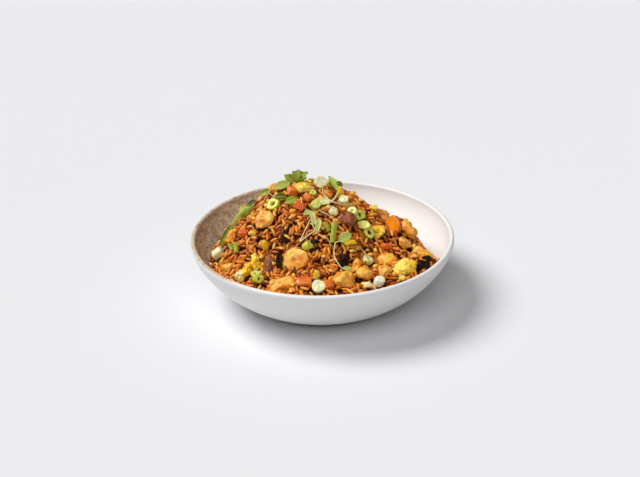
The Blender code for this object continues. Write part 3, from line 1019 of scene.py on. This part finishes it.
spring_onion, surface, place = new_material(
    "spring_onion", Roughness=0.34, IOR=1.43, Subsurface_Weight=0.18, Subsurface_Scale=2.0 * MM,
    Subsurface_Radius=(0.8, 1.0, 0.4), Coat_Weight=0.15, Coat_Roughness=0.25,
)
out = place.node("Attribute", {"attribute_name": "out"}, output=2)
tone = place.node("Attribute", {"attribute_name": "tone"}, output=2)
tone = tone + (place.noise(4 * MM, 3.0) - 0.5) * 0.16
skin = tone.ramp(
    (0.0, (0.95, 0.90, 0.66)),
    (0.25, (0.92, 0.90, 0.42)),
    (0.6, (0.66, 0.72, 0.05)),
    (1.0, (0.16, 0.22, 0.006)),
)
flesh = tone.ramp(
    (0.0, (0.98, 0.93, 0.74)),
    (0.3, (0.94, 0.87, 0.48)),
    (0.6, (0.84, 0.80, 0.17)),
    (1.0, (0.45, 0.40, 0.03)),
)
feed(surface, Base_Color=out.ease(0.80, 0.96).mix(flesh, skin))
feed(surface, Roughness=0.30 + place.noise(3 * MM) * 0.2)
relief(surface, place.noise(1.6 * MM, 2.0), 0.12 * MM, 0.5)

for node, (hole, layers, tone_share, seed) in ONION_SLICES.items():
    slice_shape = cut_shape()
    middle, turn, sizes = lie_of(node)
    cut_piece(slice_shape, middle, turn, sizes, hole, layers, tone_share, seed)
    bmesh.ops.recalc_face_normals(slice_shape, faces=slice_shape.faces)
    topping(node, slice_shape, spring_onion, "onion")

cube = refined("onion_cube_front", 2)
topping("onion_cube_front", cube, spring_onion, "onion")


def blade(shape, base, tip, facing, width, outline, thickness, cup, bend, lobes=0):
    """Adds a leaf or a strip from base to tip. Returns its vertices and their shares across."""
    rows, columns = 12, 6
    along = tip - base
    side = along.cross(facing).normalized()
    face = side.cross(along).normalized()
    grid = []
    for row in range(rows + 1):
        share = row / rows
        notches = 0.25 * math.cos(lobes * math.tau * share) if lobes else 0
        half = width / 2 * outline(share) * (1 + notches)
        arch = bend * along.length * 4 * share * (1 - share)
        line = []
        for column in range(columns + 1):
            aside = 2 * column / columns - 1
            rise = arch + cup * half * aside**2
            spot = base + along * share + side * half * aside + face * rise
            line.append(shape.verts.new(spot))
        grid.append(line)
    faces = []
    for low, high in zip(grid, grid[1:]):
        for a, b, c, d in zip(low, low[1:], high[1:], high):
            faces.append(shape.faces.new((a, b, c, d)))
    bmesh.ops.solidify(shape, geom=faces, thickness=thickness)
    return [(vert, abs((vert.co - base).dot(side)) / (width / 2)) for vert in newly_made(shape)]


onion_shape = cut_shape()
out_layer, tone_layer = (onion_shape.verts.layers.float[name] for name in ("out", "tone"))
for number, row in enumerate(ONION_BITS):
    x, y, width, depth, length, hole, layers, tone_share, yaw, tip = row
    turn = Euler((math.radians(tip), 0.0, math.radians(yaw))).to_matrix()
    sizes = (width * MM, depth * MM, length * MM)
    cut_piece(onion_shape, on_heap(x, y, 1.0), turn, sizes, hole, layers, tone_share, number)
for start, end, width, tone_share in ONION_STRIPS:
    base, tip = on_heap(*start), on_heap(*end)
    facing = Vector((0.1, -0.5, 0.9))
    strip = blade(
        onion_shape, base, tip, facing, width * MM, lambda share: 1.0, 0.9 * MM, -0.5, 0.10
    )
    for vert, _ in strip:
        vert[out_layer] = 1.0
        vert[tone_layer] = tone_share
bmesh.ops.recalc_face_normals(onion_shape, faces=onion_shape.faces)
onion_bits = mesh_object("onion_bits", onion_shape, spring_onion)
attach(onion_bits, "root")


# ---------------------------------------------------------------------------------------------
# Sweet pepper: small red dice with rounded edges, red to orange with deeper patches, one glossy
# material all over; the real dice have a glossy skin on one side and softer flesh on the others.
# ---------------------------------------------------------------------------------------------

PEPPER_RED = (0.84, 0.13, 0.016)
PEPPER_ORANGE = (0.90, 0.26, 0.035)
PEPPER_DEEP = (0.40, 0.018, 0.006)
PEPPER_BITS = (
    # millimetres across and away, its three sizes, and its turn in degrees
    (4, -92, 8, 7, 5, 30),
    (-24, -7, 8, 6, 6, 20),
    (-18, -24, 9, 6, 5, -20),
    (-11, -18, 7, 6, 5, 60),
    (-65, -22, 7, 5, 4, 0),
    (52, -35, 8, 5, 4, 20),
    (-38, 56, 8, 7, 5, 40),
    (-8, 84, 8, 6, 5, 10),
)

pepper_flesh, surface, place = new_material(
    "pepper_flesh", Roughness=0.25, IOR=1.45, Subsurface_Weight=0.12, Subsurface_Scale=1.5 * MM,
    Coat_Weight=0.5, Coat_Roughness=0.15,
)
pepper = place.noise(7 * MM, 2.0).ease(0.40, 0.60).mix(PEPPER_RED, PEPPER_ORANGE)
pepper = place.noise(13 * MM).ease(0.58, 0.64).mix(pepper, PEPPER_DEEP)
feed(surface, Base_Color=pepper, Roughness=0.20 + place.noise(3 * MM) * 0.2)
relief(surface, place.noise(2.5 * MM, 2.0), 0.3 * MM, 0.5)

pepper_front = refined("pepper_front", 2)
topping("pepper_front", pepper_front, pepper_flesh, "pepper")

pepper_shape = cut_shape()
for number, (x, y, length, width, height, turn) in enumerate(PEPPER_BITS):
    cube = bmesh.ops.create_cube(pepper_shape, size=1.0)["verts"]
    bmesh.ops.bevel(
        pepper_shape,
        geom=list({edge for vert in cube for edge in vert.link_edges}),
        offset=0.16,
        offset_type="OFFSET",
        segments=3,
        profile=0.5,
        affect="EDGES",
        material=-1,
    )
    place = Matrix.Translation(on_heap(x, y, 0.25 * height))
    lean = Euler((0.5 - 0.3 * (number % 3), 0.2 * (number % 4), math.radians(turn)))
    place = place @ lean.to_matrix().to_4x4()
    place = place @ Matrix.Diagonal((length * MM, width * MM, height * MM, 1.0))
    for vert in newly_made(pepper_shape):
        vert.co.z += 0.25 * (0.25 - vert.co.x**2)
        vert.co *= 1.0 + 0.18 * noise.noise(vert.co * 1.5 + Vector((number * 2.3, 0.0, 0.0)))
        vert.co = place @ vert.co
pepper_bits = mesh_object("pepper_bits", pepper_shape, pepper_flesh)
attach(pepper_bits, "root")


# ---------------------------------------------------------------------------------------------
# Microgreens: sprigs of young leaves on thread-thin pale stems, scattered over the crown and the
# near side. A stem is a tube along a smooth curve; a leaf is a thin cupped blade.
# ---------------------------------------------------------------------------------------------

STEM_SIDES = 6
STEM_STEPS = 6
LEAF_THICKNESS = 0.3 * MM
STEMS = (
    # thickness, then places: millimetres across, away and over the heap
    (0.9, (-18, -51, 1.0), (-15, -46, 1.4), (-11, -40, 1.4), (-8, -34, 1.5), (-9, -29, 2.0)),
    (0.8, (-18, -51, 1.0), (-11, -48, 1.5), (-5, -46, 2.0), (-3, -41, 2.2), (-2, -37, 2.5)),
    (0.7, (-9, -33, 1.5), (-7, -43, 1.6), (-1, -49, 1.5), (4, -51, 1.3), (7, -56, 0.6)),
    (1.0, (8, -16, 1.5), (19, -14, 1.4), (26, -7, 1.6), (31, -1, 1.0)),
    (0.8, (8, -16, 1.5), (2, -6, 1.8), (1, 8, 2.0), (5, 20, 2.4)),
    (1.6, (8, -16, 1.5), (12, 0, 2.4), (14, 12, 3.2), (11, 22, 3.6)),
    (0.8, (8, -16, 1.5), (1, -27, 1.6), (-9, -31, 1.6), (-15, -25, 1.8), (-17, -17, 2.2)),
    (0.8, (-1, -29, 1.5), (4, -32, 1.6), (11, -34, 0.8)),
    (1.0, (13, -50, 1.5), (10, -55, 2.4), (9, -61, 3.0), (11, -68, 2.6), (15, -74, 2.0),
     (20, -76, 1.2)),
    (0.7, (24, -49, 1.0), (29, -47, 1.8), (33, -49, 1.6), (37, -54, 0.8)),
    (0.7, (-43, 18, 1.8), (-44, 5, 1.8), (-47, -1, 1.4), (-51, -5, 0.8)),
    (0.7, (-44, 5, 1.8), (-40, -2, 1.5), (-34, -6, 1.2)),
    (0.8, (-49, -12, 1.0), (-50, -20, 1.6), (-53, -27, 1.0)),
    (0.9, (-25, 21, 0.5), (-25, 20, 3.0), (-22, 20, 5.0)),
    (0.8, (-4, 30, 1.0), (4, 44, 1.8), (10, 54, 1.0)),
    (0.8, (-40, 60, 1.0), (-30, 52, 1.8), (-20, 46, 1.0)),
)
LEAVES = (
    # base, tip (both across, away and over the heap), width, cup, lobes and tone
    ((-23, 20, 1), (-31, 20, 8), 7.5, 0.30, 3, 0.52),
    ((-23, 20, 2), (-18, 21, 12.5), 9.0, 0.30, 3, 0.58),
    ((-22, 20, 2), (-11, 20, 9), 8.0, 0.30, 3, 0.50),
    ((-21, 20, 2), (-12, 18, 4), 5.5, 0.30, 2, 0.40),
    ((-26, 12, 2.5), (-40, 10, 2.0), 7.5, 0.25, 0, 0.66),
    ((-43, 20, 2.0), (-52, 19, 1.5), 5.5, 0.30, 0, 0.40),
    ((-29, -10, 1.5), (-39, -12, 1.2), 6.0, 0.35, 0, 0.22),
    ((-20, -18, 1.5), (-30, -20, 1.6), 6.5, 0.25, 0, 0.52),
    ((-9, -29, 2.0), (-6, -41, 1.8), 5.0, 0.30, 0, 0.84),
    ((-9, -29, 2.0), (-15, -31, 1.4), 4.5, 0.30, 0, 0.72),
    ((-2, -37, 2.5), (-5, -48, 2.0), 5.0, 0.40, 0, 0.86),
    ((13, -50, 1.5), (23, -43, 2.5), 8.0, 0.25, 0, 0.76),
    ((15, -76, 2.0), (24, -76, 1.0), 3.4, 0.40, 0, 0.74),
    ((13, 10, 3.4), (6, 26, 4.4), 4.5, 0.45, 0, 0.60),
    ((12, 20, 3.0), (18, 24, 3.0), 4.5, 0.30, 0, 0.30),
    ((-75, 4, 1.4), (-86, -9, 1.0), 5.0, 0.35, 0, 0.34),
    ((-55, 16, 1.4), (-63, 13, 1.4), 3.6, 0.35, 0, 0.12),
    ((10, 54, 1.5), (18, 60, 1.5), 6.0, 0.30, 0, 0.60),
    ((10, 54, 1.5), (8, 64, 1.5), 6.0, 0.30, 0, 0.50),
    ((-40, 60, 1.5), (-50, 62, 1.5), 6.0, 0.30, 0, 0.56),
)


def smooth_curve(points, steps):
    """Points along a smooth curve that passes through the given ones."""
    padded = [2 * points[0] - points[1], *points, 2 * points[-1] - points[-2]]
    for before, first, second, after in zip(padded, padded[1:], padded[2:], padded[3:]):
        for step in range(steps):
            t = step / steps
            bend = 2 * first + (second - before) * t
            bend += (2 * before - 5 * first + 4 * second - after) * t**2
            yield (bend + (3 * first - before - 3 * second + after) * t**3) / 2
    yield points[-1]


def stem_tube(shape, points, radius):
    """Adds a closed round tube along these points, thinner at its far end."""
    rings = []
    for number, spot in enumerate(points):
        ahead = points[min(number + 1, len(points) - 1)] - points[max(number - 1, 0)]
        side = ahead.cross(Vector((0.3, 0.2, 1.0))).normalized()
        other = side.cross(ahead).normalized()
        thick = radius * (1.0 - 0.35 * number / len(points))
        ring = []
        for corner in range(STEM_SIDES):
            turned = math.tau * corner / STEM_SIDES
            around = side * math.cos(turned) + other * math.sin(turned)
            ring.append(shape.verts.new(spot + around * thick))
        rings.append(ring)
    for low, high in zip(rings, rings[1:]):
        for corner in range(STEM_SIDES):
            after = (corner + 1) % STEM_SIDES
            shape.faces.new((low[corner], low[after], high[after], high[corner]))
    shape.faces.new(rings[0][::-1])
    shape.faces.new(rings[-1])


pale_stem, surface, place = new_material(
    "pale_stem", Roughness=0.35, IOR=1.4, Subsurface_Weight=0.2, Subsurface_Scale=1.0 * MM,
    Subsurface_Radius=(0.8, 1.0, 0.4),
)
pallor = place.noise(9 * MM).ease(0.35, 0.65)
feed(surface, Base_Color=pallor.mix((0.74, 0.74, 0.24), (0.94, 0.90, 0.56)))

stem_shape = bmesh.new()
for thickness, *places in STEMS:
    path = list(smooth_curve([on_heap(*spot) for spot in places], STEM_STEPS))
    stem_tube(stem_shape, path, thickness / 2 * MM)
bmesh.ops.recalc_face_normals(stem_shape, faces=stem_shape.faces)
stems = mesh_object("microgreen_stems", stem_shape, pale_stem)
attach(stems, "root")

young_leaf, surface, place = new_material(
    "young_leaf", Roughness=0.42, IOR=1.42, Subsurface_Weight=0.15, Subsurface_Scale=1.0 * MM,
    Subsurface_Radius=(0.6, 1.0, 0.3),
)
out = place.node("Attribute", {"attribute_name": "out"}, output=2)
tone = place.node("Attribute", {"attribute_name": "tone"}, output=2)
tone = tone + (place.noise(3 * MM, 3.0) - 0.5) * 0.25
green = tone.ramp(
    (0.0, (0.06, 0.10, 0.003)),
    (0.25, (0.19, 0.30, 0.006)),
    (0.5, (0.48, 0.66, 0.02)),
    (0.75, (0.74, 0.82, 0.20)),
    (1.0, (0.95, 0.97, 0.48)),
)
feed(surface, Base_Color=(1 - out.ease(0.0, 0.16)).mix(green, (0.78, 0.82, 0.34)))
feed(surface, Roughness=0.36 + place.noise(3 * MM) * 0.16)

leaf_shape = cut_shape()
out_layer, tone_layer = (leaf_shape.verts.layers.float[name] for name in ("out", "tone"))
for start, end, width, cup, lobes, tone_share in LEAVES:
    base, tip = on_heap(*start), on_heap(*end)
    leaf = blade(
        leaf_shape,
        base,
        tip,
        Vector((0.1, -0.7, 0.7)),
        width * MM,
        lambda share: 0.08 + 0.92 * math.sin(math.pi * share**0.85) ** 0.75,
        LEAF_THICKNESS,
        cup,
        0.10,
        lobes,
    )
    for vert, aside in leaf:
        vert[out_layer] = aside
        vert[tone_layer] = tone_share
bmesh.ops.recalc_face_normals(leaf_shape, faces=leaf_shape.faces)
leaves = mesh_object("microgreen_leaves", leaf_shape, young_leaf)
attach(leaves, "root")


# ---------------------------------------------------------------------------------------------
# The table, the light and the view: a pale seamless floor, a soft key from the left with a weaker
# fill from the front, and a camera a metre off that looks down on the bowl from the eater's side.
# ---------------------------------------------------------------------------------------------

FLOOR_COLOUR = (0.84, 0.84, 0.86)
KEY_STRENGTH = 2.6
KEY_TILT = 35.3
KEY_TURN = -103.3
KEY_SOFTNESS = 34
FILL_STRENGTH = 1.12
FILL_TILT = 40
FILL_SOFTNESS = 50
SKY_STRENGTH = 0.06
VIEW_ELEVATION = 26.34
VIEW_DISTANCE = 1.0476
VIEW_ROLL = -1.067
LENS = 70.4
SENSOR = 36.0

floor_shape = bmesh.new()
bmesh.ops.create_grid(floor_shape, x_segments=8, y_segments=8, size=6.0)
floor_paint, surface, place = new_material("floor_paint", Roughness=0.9, Specular_IOR_Level=0.1)
feed(surface, Base_Color=place.noise(0.3).mix(FLOOR_COLOUR, tuple(0.985 * c for c in FLOOR_COLOUR)))
floor = mesh_object("floor", floor_shape, floor_paint)
floor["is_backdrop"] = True

LAMPS = (
    ("key", KEY_STRENGTH, KEY_SOFTNESS, KEY_TILT, KEY_TURN),
    ("fill", FILL_STRENGTH, FILL_SOFTNESS, FILL_TILT, 0.0),
)
for name, strength, softness, tilt, turn in LAMPS:
    lamp = bpy.data.lights.new(name, "SUN")
    lamp.energy = strength
    lamp.angle = math.radians(softness)
    lamp_object = bpy.data.objects.new(name, lamp)
    lamp_object.rotation_euler = (math.radians(tilt), 0.0, math.radians(turn))
    bpy.context.scene.collection.objects.link(lamp_object)

sky = bpy.data.worlds.new("sky")
sky.use_nodes = True
backdrop = sky.node_tree.nodes["Background"]
backdrop.inputs["Color"].default_value = (1.0, 1.0, 1.0, 1.0)
backdrop.inputs["Strength"].default_value = SKY_STRENGTH
bpy.context.scene.world = sky

lens = bpy.data.cameras.new("view")
lens.lens = LENS
lens.sensor_width = SENSOR
lens.shift_x = -0.0036
lens.shift_y = -0.0088
lens.clip_start = 0.05
camera = bpy.data.objects.new("view", lens)
tilt = math.radians(VIEW_ELEVATION)
back = Vector((0.0, -math.cos(tilt), math.sin(tilt)))
camera.location = Vector((0.0, 0.0, RIM_HEIGHT)) + back * VIEW_DISTANCE
look = Euler((math.pi / 2 - tilt, 0.0, 0.0)).to_matrix()
camera.rotation_euler = (look @ Matrix.Rotation(math.radians(VIEW_ROLL), 3, "Z")).to_euler()
bpy.context.scene.collection.objects.link(camera)
bpy.context.scene.camera = camera
bpy.context.scene.view_settings.view_transform = "Standard"

seen_low, seen_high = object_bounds()
sizes = {
    "cad_box": [list(cad_low), list(cad_high)],
    "visual_box": [list(seen_low), list(seen_high)],
}
